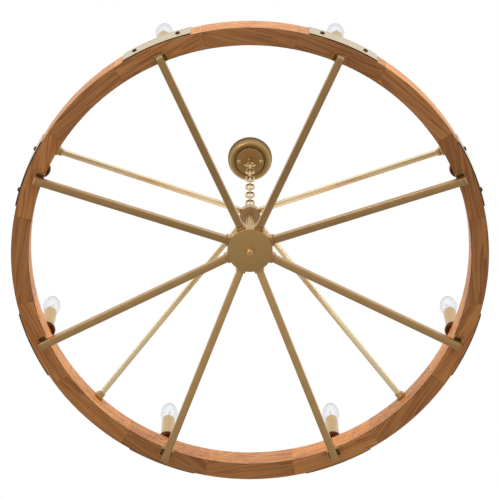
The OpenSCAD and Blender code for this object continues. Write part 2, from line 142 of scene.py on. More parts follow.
bm = bmesh.new()
bmesh.ops.create_circle(bm, cap_ends=True, segments=FLOOR_SIDES, radius=FLOOR_R)
bmesh.ops.translate(bm, vec=(0, 0, FLOOR_Z), verts=bm.verts)
floor_mesh = bpy.data.meshes.new("floor")
bm.to_mesh(floor_mesh)
bm.free()
floor = bpy.data.objects.new("floor", floor_mesh)
bpy.context.collection.objects.link(floor)
pale, tree = new_material("pale_floor")
floor_ray = add_node(tree, "ShaderNodeLightPath")
floor_place = add_node(tree, "ShaderNodeTexCoord").outputs["Object"]
floor_place = add_node(tree, "ShaderNodeSeparateXYZ", {0: floor_place})
across = add_node(tree, "ShaderNodeMapRange", {
    "Value": floor_place.outputs["Y"], "From Min": PALE_FROM_Y, "From Max": GREY_TO_Y})
# Painted light: the ramp runs from pale in front to grey behind.
room_light_paint = add_node(tree, "ShaderNodeValToRGB", {"Fac": across.outputs["Result"]})
room_light_paint.color_ramp.elements[0].color = linear("#dad9d6")
room_light_paint.color_ramp.elements[1].color = linear("#8f8c85")
room_light_paint.color_ramp.elements.new(0.5).color = linear("#b6b4af")
painted = add_node(tree, "ShaderNodeBsdfDiffuse", {"Color": room_light_paint.outputs["Color"]})
plain = add_node(tree, "ShaderNodeEmission", {"Color": linear("#ffffff"), "Strength": 1.0})
plainly_seen = add_node(tree, "ShaderNodeMath", {
    0: floor_ray.outputs["Is Camera Ray"], 1: floor_ray.outputs["Is Transmission Ray"]}, operation="MAXIMUM")
shown = add_node(tree, "ShaderNodeMixShader", {
    0: plainly_seen.outputs[0], 1: painted.outputs[0], 2: plain.outputs[0]})
add_node(tree, "ShaderNodeOutputMaterial", {"Surface": shown.outputs[0]})
floor_mesh.materials.append(pale)


def area_light(name, place, target, size, watts):
    """A square soft lamp that looks at a point. It doesn't show to the camera, in reflections or
    through glass."""
    lamp = bpy.data.objects.new(name, bpy.data.lights.new(name, "AREA"))
    lamp.data.size = size
    lamp.data.energy = watts
    lamp.location = place
    lamp.visible_camera = lamp.visible_glossy = lamp.visible_transmission = False
    lamp.rotation_mode = "QUATERNION"
    lamp.rotation_quaternion = (Vector(target) - Vector(place)).to_track_quat("-Z", "Y")
    bpy.context.collection.objects.link(lamp)
    return lamp


WHEEL_HEIGHT = (0, 0, -0.6)
SOFT_SIZE = 5
area_light("key", (-3.1, 2.9, 1.6), WHEEL_HEIGHT, SOFT_SIZE, 185)
area_light("fill", (3.4, 2.2, 1.1), WHEEL_HEIGHT, SOFT_SIZE, 150)
area_light("front", (0.3, -3.7, 1.1), WHEEL_HEIGHT, SOFT_SIZE, 250)

# This small lamp shows in reflections only, and gives the canopy's crest its highlight.
glint = area_light("glint", (-1.6, -2.2, -2.2), (0, 0, 0), 1.1, 18)
glint.visible_glossy = True
glint.visible_diffuse = False

# ---- Ceiling plate, nipples and nuts ----
# The steel plate that screws to the ceiling box, the hollow threaded nipples and their hex nuts.
# Stamped or turned steel with bright zinc plating. All of them are out of sight once it hangs.


def zinc_plate():
    """Zinc plating: a cool grey metal with soft cloudy spangle about 6 mm across."""
    spangle = 6 * MM
    material, tree = new_material("zinc_plated_steel")
    place = add_node(tree, "ShaderNodeTexCoord").outputs["Object"]
    cloud = add_node(tree, "ShaderNodeTexNoise", {"Vector": place, "Scale": 1 / spangle, "Detail": 3.0})
    tone = add_node(tree, "ShaderNodeMix", {"Factor": cloud.outputs["Fac"]}, data_type="RGBA")
    tone.inputs["A"].default_value = linear("#a9a7a1")
    tone.inputs["B"].default_value = linear("#c9c8c3")
    gloss = add_node(tree, "ShaderNodeMapRange", {
        "Value": cloud.outputs["Fac"], "To Min": 0.3, "To Max": 0.46})
    shader = add_node(tree, "ShaderNodeBsdfPrincipled", {
        "Base Color": tone.outputs["Result"], "Metallic": 1.0, "Roughness": gloss.outputs["Result"]})
    add_node(tree, "ShaderNodeOutputMaterial", {"Surface": shader.outputs[0]})
    return material


ZINC = zinc_plate()


def coat_node(material, *nodes):
    """Gives solids that keep their own shape a finish."""
    for name in nodes:
        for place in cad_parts[name].material_slots:
            place.material = material


coat_node(ZINC, "crossbar", "ceiling_nipple", "ceiling_nut", "hub_nipple", "hub_nut", "lamp_nipples")

# ---- Canopy ----
# The round cover at the ceiling, spun from brass sheet and polished: a straight edge, a round crest,
# a groove, and a flat plate that stands out in the middle. Its outer edge, the crest's outer side and
# the middle of the crest's inner slope are painted darker as painted shade; the groove is darkened
# as tarnish in the hollow.


def satin_brass(name, colour, dark, roughness, brushing, tarnish=0.25, on_solid=False):
    """Lacquered brass: warm metal with fine brush lines and a faint uneven tarnish.

    brushing is the length of a brush line along the piece's own three directions, in millimetres.
    Real lines are a tenth of a millimetre wide. That is too fine to show, so they are drawn one to
    nine millimetres wide. A solid that keeps its own shape has no such directions, so there they are
    the object's. Each point's darkening, from 0 to 1, is how far the brass is darkened and dulled there:
    tarnish in some pieces, painted shade in others."""
    tarnish_patch = 35 * MM
    line_depth = 0.02 * MM
    dulling = 0.4
    material, tree = new_material(name)
    if on_solid:
        place = add_node(tree, "ShaderNodeTexCoord").outputs["Object"]
    else:
        place = add_node(tree, "ShaderNodeAttribute", attribute_name="lay").outputs["Vector"]
    stretch = [1 / (line * MM) for line in brushing]
    lines = add_node(tree, "ShaderNodeTexNoise", {
        "Vector": add_node(tree, "ShaderNodeMapping", {"Vector": place, "Scale": stretch}).outputs[0],
        "Scale": 1.0, "Detail": 2.0, "Roughness": 0.5})
    cloud = add_node(tree, "ShaderNodeTexNoise", {"Vector": place, "Scale": 1 / tarnish_patch, "Detail": 4.0})
    age = add_node(tree, "ShaderNodeMapRange", {
        "Value": cloud.outputs["Fac"], "From Min": 0.35, "From Max": 0.75, "To Min": 0.0, "To Max": tarnish})
    # The point's darkening is tarnish in some pieces and painted shade in others.
    tarnish_and_shade = add_node(tree, "ShaderNodeAttribute", attribute_name="tarnish_and_shade").outputs["Fac"]
    tarnish_and_shade_mix = add_node(tree, "ShaderNodeMath", {0: age.outputs["Result"], 1: tarnish_and_shade}, operation="MAXIMUM")
    tone = add_node(tree, "ShaderNodeMix", {"Factor": tarnish_and_shade_mix.outputs[0]}, data_type="RGBA")
    tone.inputs["A"].default_value = linear(colour)
    tone.inputs["B"].default_value = linear(dark)
    shade = add_node(tree, "ShaderNodeMapRange", {
        "Value": lines.outputs["Fac"], "To Min": 0.94, "To Max": 1.06})
    streak = add_node(tree, "ShaderNodeMix", {"Factor": 1.0}, data_type="RGBA", blend_type="MULTIPLY")
    tree.links.new(tone.outputs["Result"], streak.inputs["A"])
    tree.links.new(shade.outputs["Result"], streak.inputs["B"])
    gloss = add_node(tree, "ShaderNodeMapRange", {
        "Value": lines.outputs["Fac"], "To Min": roughness - 0.02, "To Max": roughness + 0.04})
    dulled = add_node(tree, "ShaderNodeMath", {
        0: tarnish_and_shade, 1: dulling, 2: gloss.outputs["Result"]}, operation="MULTIPLY_ADD")
    scratch = add_node(tree, "ShaderNodeBump", {
        "Height": lines.outputs["Fac"], "Strength": 0.02, "Distance": line_depth})
    bare = add_node(tree, "ShaderNodeMapRange", {"Value": tarnish_and_shade, "To Min": 1.0, "To Max": 0.1})
    shader = add_node(tree, "ShaderNodeBsdfPrincipled", {
        "Base Color": streak.outputs["Result"], "Metallic": bare.outputs["Result"],
        "Roughness": dulled.outputs[0], "Normal": scratch.outputs["Normal"], "Specular IOR Level": 0.05})
    add_node(tree, "ShaderNodeOutputMaterial", {"Surface": shader.outputs[0]})
    return material


def new_skin():
    """An empty mesh whose points keep their darkening, tarnish in some pieces and painted shade in others,
    and their place in the piece's own directions.
    """
    bm = bmesh.new()
    bm.verts.layers.float.new("tarnish_and_shade")
    return bm, bm.verts.layers.float_vector.new("lay")


def lathe(bm, lay, outline, place=Matrix(), steps=96, closed=False, inside=False, turned=True):
    """Spins an outline of (radius, height) points about the local Z axis and sets it down.

    A point may have its darkening, tarnish or painted shade as the piece needs, as a third value. With inside
    set, the skin faces inwards. A turned piece keeps only each point's radius and height for its pattern,
    so its brush lines are rings."""
    points = [bm.verts.new((point[0], 0, point[1])) for point in outline]
    for vertex, point in zip(points, outline):
        vertex[bm.verts.layers.float["tarnish_and_shade"]] = point[2] if len(point) > 2 else 0
    pairs = list(zip(points, points[1:])) + ([(points[-1], points[0])] if closed else [])
    edges = [bm.edges.new(pair) for pair in pairs]
    before = set(bm.verts) - set(points)
    bmesh.ops.spin(bm, geom=points + edges, axis=(0, 0, 1), angle=math.tau, steps=steps, use_merge=True)
    made = merge_close(bm, [v for v in bm.verts if v not in before])
    for v in made:
        v[lay] = (v.co.xy.length, 0, v.co.z) if turned else v.co
    faces = list({f for v in made for f in v.link_faces})
    bmesh.ops.recalc_face_normals(bm, faces=faces)
    if inside:
        bmesh.ops.reverse_faces(bm, faces=faces)
    bmesh.ops.transform(bm, matrix=place, verts=made)


def merge_close(bm, points):
    """Joins points that fell together, such as those of a pole, and gives what is left."""
    bmesh.ops.remove_doubles(bm, verts=points, dist=0.01 * MM)
    return [v for v in points if v.is_valid]


def set_piece(bm, name, material, body, *nodes, sharp=35, slot=None):
    """Makes the mesh an object on its body, in place of the named solids."""
    mesh = bpy.data.meshes.new(name)
    bm.to_mesh(mesh)
    bm.free()
    mesh.materials.append(material)
    mesh.shade_smooth()
    mesh.set_sharp_from_angle(angle=math.radians(sharp))
    made = bpy.data.objects.new(name, mesh)
    bpy.context.collection.objects.link(made)
    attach(made, body)
    if nodes:
        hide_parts(*nodes)
    return made


def arc(cx, cz, r, start, end, steps):
    """Points on an arc of an outline, angles in degrees."""
    turns = [math.radians(start + (end - start) * i / steps) for i in range(steps + 1)]
    return [(cx + r * math.cos(t), cz + r * math.sin(t)) for t in turns]


CANOPY_BRASS = satin_brass("polished_canopy_brass", "#c4a069", "#3f2d12", 0.28, (2, 2, 3), tarnish=0.15)
canopy_low, canopy_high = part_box("canopy")
CANOPY_R = canopy_high.x
CANOPY_H = -canopy_low.z
SHEET = 1.2 * MM
EDGE_H = 3 * MM
CREST_R = 39 * MM
CREST_STEP = 2 * MM
GROOVE_W = 2 * MM
GROOVE_H = 3 * MM
PLATE_R = 30 * MM
PLATE_LIP = 0.8 * MM
PLATE_BORE = 5 * MM
# Darkening of the section's points: painted shade on the outer edge, the crest and its inner slope, tarnish
# in the groove, and the plate's own tone.
EDGE_SHADE_AND_GROOVE_TARNISH, CREST_PAINTED_SHADE, SLOPE_PAINTED_SHADE, GROOVE_PATINA = 1, 0.95, 0.35, 0.3
LIP_PATINA, PLATE_EDGE_PATINA, PLATE_MIDDLE_PATINA = 0.2, 0.22, 0.32


def canopy_line(inset):
    """The canopy's section from its edge over the round crest and the groove in to the flat plate."""
    edge_r, groove_r, plate_r = CANOPY_R - inset, PLATE_R + GROOVE_W + inset, PLATE_R - inset
    plate_z = inset - CANOPY_H
    crest_z = plate_z + CREST_STEP
    groove_z = crest_z + GROOVE_H
    # Each point's third value darkens it: painted shade at the outer edge, over the crest's outer side and in
    # the middle of its inner slope; tarnish in the groove's corner.
    points = [(edge_r, 0, EDGE_SHADE_AND_GROOVE_TARNISH)]
    for turn in range(0, 91, 5):
        t = math.radians(turn)
        r = CREST_R + (edge_r - CREST_R) * math.cos(t)
        z = -EDGE_H + (crest_z + EDGE_H) * math.sin(t)
        points.append((r, z, CREST_PAINTED_SHADE * math.cos(t) ** 1.5))
    for turn in range(10, 91, 10):
        t = math.radians(turn)
        r = CREST_R - (CREST_R - groove_r) * math.sin(t)
        z = groove_z + (crest_z - groove_z) * math.cos(t)
        points.append((r, z, SLOPE_PAINTED_SHADE * math.sin(2 * t)))
    points += [(groove_r, groove_z, GROOVE_PATINA), (plate_r, groove_z, EDGE_SHADE_AND_GROOVE_TARNISH)]
    lip = arc(plate_r - PLATE_LIP, plate_z + PLATE_LIP, PLATE_LIP, 0, -90, 4)
    points += [(r, z, LIP_PATINA) for r, z in lip]
    points.append((plate_r - 2 * MM, plate_z, PLATE_EDGE_PATINA))
    return points + [(PLATE_BORE, plate_z, PLATE_MIDDLE_PATINA)]


outer, inner = canopy_line(0), canopy_line(SHEET)[::-1]
bm, lay = new_skin()
lathe(bm, lay, outer + inner, steps=240, closed=True)
set_piece(bm, "canopy_shell", CANOPY_BRASS, "ceiling_mount", "canopy", slot="antique_brass")

# ---- Canopy screws and cast loops ----
# Two slotted brass screws hold the canopy to the ceiling plate. The loops that carry the chain are
# cast brass, each a ring on triangular shoulders, screwed on a nipple above and into the upper hub below.

CAST_BRASS = satin_brass("cast_brass", "#c9aa76", "#97764a", 0.26, (4, 4, 4), on_solid=True)
coat_node(CAST_BRASS, "canopy_screws", "ceiling_loop", "stem_loop")

# ---- Chain ----
# Oval links bent from round brass-plated wire, each turned a quarter from the last, with the fine
# line of the butt joint left open on one side of every link. The inside of each link is darker: tarnish
# where polishing doesn't reach, and painted shade where the links meet.

CHAIN_BRASS = satin_brass("plated_chain_brass", "#d6ba8a", "#5d4522", 0.22, (6, 6, 6), tarnish=0.12)
LINK_COUNT = 11
WIRE_STEPS = 20
BEND_STEPS = 16
JOINT_GAP = 0.25 * MM
INSIDE_TARNISH_AND_SHADE = 0.75
TARNISH_AND_SHADE_REACH = 0.25


def chain_link(name):
    """A stadium of round wire, swept from the joint round both bends and back, in its solid's box."""
    low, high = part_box(name)
    size = high - low
    wire = min(size.x, size.y) / 2
    bend = max(size.x, size.y) / 2 - wire
    straight = size.z - 2 * wire - 2 * bend
    half_side = (straight - JOINT_GAP) / 2
    bm, lay = new_skin()
    ring = bmesh.ops.create_circle(bm, segments=WIRE_STEPS, radius=wire)["verts"]
    bmesh.ops.translate(bm, vec=(bend, 0, -JOINT_GAP / 2), verts=ring)
    start = list({e for v in ring for e in v.link_edges})
    bmesh.ops.contextual_create(bm, geom=start)
    for side, length in ((-1, half_side), (1, straight)):
        out = bmesh.ops.extrude_edge_only(bm, edges=start)["geom"]
        moved = [g for g in out if isinstance(g, bmesh.types.BMVert)]
        bmesh.ops.translate(bm, vec=(0, 0, side * length), verts=moved)
        edges = [g for g in out if isinstance(g, bmesh.types.BMEdge)]
        spun = bmesh.ops.spin(bm, geom=moved + edges, cent=(0, 0, side * straight / 2), axis=(0, 1, 0),
                              angle=math.pi, steps=BEND_STEPS)
        start = [g for g in spun["geom_last"] if isinstance(g, bmesh.types.BMEdge)]
    out = bmesh.ops.extrude_edge_only(bm, edges=start)["geom"]
    last = [g for g in out if isinstance(g, bmesh.types.BMVert)]
    bmesh.ops.translate(bm, vec=(0, 0, -half_side), verts=last)
    bmesh.ops.contextual_create(bm, geom=[g for g in out if isinstance(g, bmesh.types.BMEdge)])
    merge_close(bm, list(bm.verts))
    bmesh.ops.recalc_face_normals(bm, faces=bm.faces)
    bm.normal_update()
    # The inside of the wire, where the next link sits, gets tarnish and painted shade.
    for v in bm.verts:
        along = max(-straight / 2, min(straight / 2, v.co.z))
        outward = Vector((v.co.x, 0, v.co.z - along)).normalized()
        inwards = max(0, TARNISH_AND_SHADE_REACH - v.normal.dot(outward))
        v[bm.verts.layers.float["tarnish_and_shade"]] = INSIDE_TARNISH_AND_SHADE * inwards
        v[lay] = v.co
    quarter = Matrix.Rotation(math.pi / 2, 4, "Z") if size.y > size.x else Matrix()
    bmesh.ops.transform(bm, matrix=Matrix.Translation((low + high) / 2) @ quarter, verts=bm.verts)
    set_piece(bm, name + "_wire", CHAIN_BRASS, name, name, slot="brass", sharp=50)


for number in range(1, LINK_COUNT + 1):
    chain_link(f"chain_link_{number:02d}")

# ---- Stem and upper hub ----
# A turned brass tube with a foot ring stands on the hub and carries the upper hub, a short turned
# drum with eased edges that takes the four stays.

BRASS = satin_brass("satin_brass", "#cdaa74", "#9c7a4c", 0.33, (4, 4, 60))
stem_low, stem_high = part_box("stem_tube")
STEM_R = 8 * MM
STEM_BORE = 6 * MM
STEM_FILLET = 0.6 * MM
FOOT_R = stem_high.x
FOOT_H = 4 * MM
FOOT_EDGE = 1.2 * MM
stem_len = stem_high.z - stem_low.z
foot_line = [(STEM_BORE, 0), (FOOT_R - FOOT_EDGE / 2, 0)]
foot_line += arc(FOOT_R - FOOT_EDGE, FOOT_EDGE, FOOT_EDGE, -60, 90, 6)
foot_line += [(FOOT_R - 2 * FOOT_EDGE, 2.6 * MM), (STEM_R + 0.8 * MM, FOOT_H)]
tube_line = [(STEM_R, FOOT_H + STEM_FILLET), (STEM_R, stem_len), (STEM_BORE, stem_len)]
stem_place = Matrix.Translation((0, 0, stem_low.z))
bm, lay = new_skin()
lathe(bm, lay, foot_line + tube_line, stem_place, steps=64, closed=True, turned=False)
set_piece(bm, "stem", BRASS, "wheel", "stem_tube", slot="brass")

UPPER_BRASS = satin_brass("satin_upper_hub_brass", "#c3aa84", "#87714f", 0.38, (3, 3, 3), tarnish=0.3)
top_low, top_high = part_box("upper_hub")
TOP_R = top_high.x
TOP_H = top_high.z - top_low.z
TOP_EDGE = 1.5 * MM
STUD_BORE = 5 * MM
drum_line = [(STUD_BORE, 0)] + arc(TOP_R - TOP_EDGE, TOP_EDGE, TOP_EDGE, -90, 0, 5)
drum_line += arc(TOP_R - TOP_EDGE, TOP_H - TOP_EDGE, TOP_EDGE, 0, 90, 5) + [(STUD_BORE, TOP_H)]
bm, lay = new_skin()
lathe(bm, lay, drum_line, Matrix.Translation((0, 0, top_low.z)), steps=80, closed=True)
set_piece(bm, "upper_hub_drum", UPPER_BRASS, "wheel", "upper_hub", slot="brass")

# ---- Hub and finial ----
# The hub is a shallow brass shell that takes the eight spokes, closed below by a flat turned cover.
# A small round knob screws up on the nipple and holds the cover.

HUB_BRASS = satin_brass("spun_hub_brass", "#cba56d", "#9c7845", 0.36, (9, 9, 9), tarnish=0.2, on_solid=True)
coat_node(HUB_BRASS, "hub_shell")

TURNED_BRASS = satin_brass("turned_brass", "#cba56d", "#9c7845", 0.36, (3, 3, 3), tarnish=0.2)
hub_low, hub_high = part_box("hub_shell")
cover_low, cover_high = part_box("hub_cover")
HUB_R = hub_high.x
COVER_T = cover_high.z - cover_low.z
COVER_EDGE = 1 * MM
cover_line = [(STUD_BORE, 0)] + arc(HUB_R - COVER_EDGE, COVER_EDGE, COVER_EDGE, -90, 0, 5)
cover_line += [(HUB_R, COVER_T), (STUD_BORE, COVER_T)]
bm, lay = new_skin()
lathe(bm, lay, cover_line, Matrix.Translation((0, 0, cover_low.z)), steps=128, closed=True)
set_piece(bm, "hub_cover_disc", TURNED_BRASS, "wheel", "hub_cover", slot="brass")

knob_low, knob_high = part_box("finial")
KNOB_R = knob_high.x
KNOB_H = knob_high.z - knob_low.z
RING_T = 1.2 * MM
RING_OUT = 1.5 * MM
RING_EDGE = RING_T / 2
BALL_R = KNOB_R - RING_OUT
NECK_R = BALL_R * 0.82
NECK_H = 0.4 * MM
ring_z = KNOB_H - RING_T
knob_line = [(0, 0)] + arc(0, BALL_R, BALL_R, -80, 38, 14)
knob_line += [(NECK_R, ring_z - NECK_H), (KNOB_R - 0.9 * MM, ring_z)]
knob_line += arc(KNOB_R - RING_EDGE, KNOB_H - RING_EDGE, RING_EDGE, -80, 80, 6)
knob_line += [(KNOB_R - 1 * MM, KNOB_H), (0, KNOB_H)]
bm, lay = new_skin()
lathe(bm, lay, knob_line, Matrix.Translation((0, 0, knob_low.z)), steps=48)
set_piece(bm, "finial_knob", TURNED_BRASS, "finial", "finial", slot="brass")

# ---- Spokes ----
# Eight square brass tubes with rounded corners run out from the hub, falling a little, and pass under
# the wood. Each has a collar at the hub, a capped end, and a flange with a square post up to the wood.


def bar(bm, lay, low, high, edge, place):
    """A bar between two corners in its own directions, its edges rounded, set down by place."""
    made = bmesh.ops.create_cube(bm, size=1)["verts"]
    low, high = Vector(low), Vector(high)
    bmesh.ops.scale(bm, vec=high - low, verts=made)
    bmesh.ops.translate(bm, vec=(low + high) / 2, verts=made)
    edges = list({e for v in made for e in v.link_edges})
    out = bmesh.ops.bevel(bm, geom=edges, offset=edge, segments=3, profile=0.5, affect="EDGES", material=-1)
    made = list({v for f in out["faces"] for v in f.verts})
    for v in made:
        v[lay] = v.co
    bmesh.ops.transform(bm, matrix=place, verts=made)


SPOKE_BRASS = satin_brass("brushed_spoke_brass", "#c8a371", "#946f43", 0.34, (220, 4, 4))
# The flange's pan and post take this darker brass as painted shade inside the pan; its lips stay plain brass.
FLANGE_SHADE_BRASS = satin_brass("flange_brass_painted_shade", "#80633a", "#59421f", 0.4, (6, 6, 6))
LAMP_COUNT = 8
WHEEL_R = wood_high.x
LAMP_R = WHEEL_R - 25 * MM
SPOKE_W = 14 * MM
SPOKE_EDGE = 1.2 * MM
SPOKE_INSET = 12 * MM
SPOKE_DROP = 22 * MM
SPOKE_IN = 7 * MM
CAP_T = 2 * MM
CAP_EDGE = 0.5 * MM
END_ROOM = 5 * MM
COLLAR_W = 18.5 * MM
COLLAR_LEN = 7 * MM
COLLAR_IN = 2 * MM
COLLAR_EDGE = 0.8 * MM
FLANGE = Vector((17, 26, 4)) * MM
FLANGE_EDGE = 0.3 * MM
PAN_WALL = 1.5 * MM
POST_W = 13 * MM
POST_EDGE = 0.6 * MM
POST_LOW, POST_HIGH = -15 * MM, -1 * MM
SHORT_LIP_STEP = 0.1 * MM

spoke_end_r = WHEEL_R - SPOKE_INSET
hub_mid_z = (hub_low.z + hub_high.z) / 2 - 0.5 * MM
spoke_fall = math.atan2(hub_mid_z - wood_z + SPOKE_DROP, spoke_end_r - HUB_R)
spoke_len = (spoke_end_r - HUB_R + SPOKE_IN) / math.cos(spoke_fall)


def lamp_turn(number):
    """Turn to one of the eight lamp places, counted from 1."""
    return Matrix.Rotation(math.tau * (number - 0.5) / LAMP_COUNT, 4, "Z")


def along_spoke(number):
    """Own X runs outward along the spoke. The spoke's cap ends END_ROOM before the origin."""
    end = Matrix.Translation((spoke_end_r, 0, wood_z - SPOKE_DROP))
    return lamp_turn(number) @ end @ Matrix.Rotation(spoke_fall, 4, "Y")


def flange_lips(skin, place):
    """The flange's thin rim: two long lips, and between them two that are a little less deep."""
    long_x = FLANGE.x / 2 - PAN_WALL
    short_y = FLANGE.y / 2 - PAN_WALL
    for side in (-1, 1):
        x = sorted((side * long_x, side * FLANGE.x / 2))
        y = sorted((side * short_y, side * FLANGE.y / 2))
        bar(*skin, (x[0], -FLANGE.y / 2, -FLANGE.z), (x[1], FLANGE.y / 2, 0), FLANGE_EDGE, place)
        bar(*skin, (-long_x, y[0], SHORT_LIP_STEP - FLANGE.z), (long_x, y[1], 0), FLANGE_EDGE, place)


half, wide, post = SPOKE_W / 2, COLLAR_W / 2, POST_W / 2
pan_x, pan_y = FLANGE.x / 2, FLANGE.y / 2
cap_low, cap_high = -END_ROOM - CAP_T, -END_ROOM
collar_low = -spoke_len + SPOKE_IN - COLLAR_IN
collar_high = collar_low + COLLAR_IN + COLLAR_LEN
collars, caps, flanges, lips = new_skin(), new_skin(), new_skin(), new_skin()
for number in range(1, LAMP_COUNT + 1):
    place = along_spoke(number)
    bm, lay = new_skin()
    bar(bm, lay, (-spoke_len, -half, -half), (cap_low, half, half), SPOKE_EDGE, place)
    set_piece(bm, f"spoke_{number}_tube", SPOKE_BRASS, "wheel", f"spoke_{number}", slot="brass")
    bar(*collars, (collar_low, -wide, -wide), (collar_high, wide, wide), COLLAR_EDGE, place)
    bar(*caps, (cap_low, -half, -half), (cap_high, half, half), CAP_EDGE, place)
    upright = lamp_turn(number) @ Matrix.Translation((LAMP_R, 0, wood_z))
    bar(*flanges, (-pan_x, -pan_y, -PAN_WALL), (pan_x, pan_y, 0), FLANGE_EDGE, upright)
    flange_lips(lips, upright)
    bar(*flanges, (-post, -post, POST_LOW), (post, post, POST_HIGH), POST_EDGE, upright)
set_piece(collars[0], "spoke_collar_blocks", SPOKE_BRASS, "wheel", "spoke_collars", slot="brass")
set_piece(caps[0], "spoke_end_caps", SPOKE_BRASS, "wheel", "spoke_caps", slot="brass")
set_piece(flanges[0], "flange_posts", FLANGE_SHADE_BRASS, "wheel", "spoke_flanges", slot="brass")
set_piece(lips[0], "flange_lips", BRASS, "wheel", slot="brass")

# ---- Stays ----
# Four slimmer square tubes fall from the upper hub to the rim. Each is brazed to the hub and stands
# in a collared pad that is fixed to the wood's inner face.

STAY_BRASS = satin_brass("polished_stay_brass", "#f4e0b6", "#d6b888", 0.3, (220, 4, 4))
STAY_NEAR, STAY_FAR = math.radians(29.6), math.radians(45)
STAY_TURNS = [STAY_FAR, math.pi - STAY_FAR, math.pi + STAY_NEAR, -STAY_NEAR]
STAY_W = 10 * MM
STAY_EDGE = 0.8 * MM
STAY_IN_HUB = 2 * MM
STAY_IN_FOOT = 3 * MM
FOOT = Vector((6, 16, 17)) * MM
PAD_EDGE = 0.8 * MM
FOOT_BELOW_TOP = 3 * MM
SOCKET_W = 13 * MM
SOCKET_LEN = 6 * MM
SOCKET_IN_FOOT = 1.5 * MM
SOCKET_EDGE = 0.6 * MM
WOOD_W = 34 * MM

wood_in_r = WHEEL_R - WOOD_W
stay_low_r = wood_in_r - FOOT.x
stay_low_z = wood_top - FOOT_BELOW_TOP - FOOT.z / 2
stay_top_z = (top_low.z + top_high.z) / 2
stay_fall = math.atan2(stay_top_z - stay_low_z, stay_low_r - TOP_R)
stay_len = (stay_low_r - TOP_R) / math.cos(stay_fall)
feet = new_skin()
half, wide = STAY_W / 2, SOCKET_W / 2
for number, turn in enumerate(STAY_TURNS, 1):
    foot = Matrix.Rotation(turn, 4, "Z") @ Matrix.Translation((stay_low_r, 0, stay_low_z))
    place = foot @ Matrix.Rotation(stay_fall, 4, "Y")
    bm, lay = new_skin()
    bar(bm, lay, (-stay_len - STAY_IN_HUB, -half, -half), (STAY_IN_FOOT, half, half), STAY_EDGE, place)
    set_piece(bm, f"stay_{number}_tube", STAY_BRASS, "wheel", f"stay_rod_{number}", slot="pale_brass")
    bar(*feet, (-SOCKET_LEN, -wide, -wide), (SOCKET_IN_FOOT, wide, wide), SOCKET_EDGE, place)
    bar(*feet, (0, -FOOT.y / 2, -FOOT.z / 2), (FOOT.x, FOOT.y / 2, FOOT.z / 2), PAD_EDGE, foot)
set_piece(feet[0], "stay_foot_pads", BRASS, "wheel", "stay_feet", slot="brass")

# ---- Wooden rim ----
# Sixteen sawn segments of open-grained hardwood, glued end to end and turned to a ring, stained mid
# brown under a satin lacquer. Each keeps its own straight grain and tone, with a fine line at the joints.


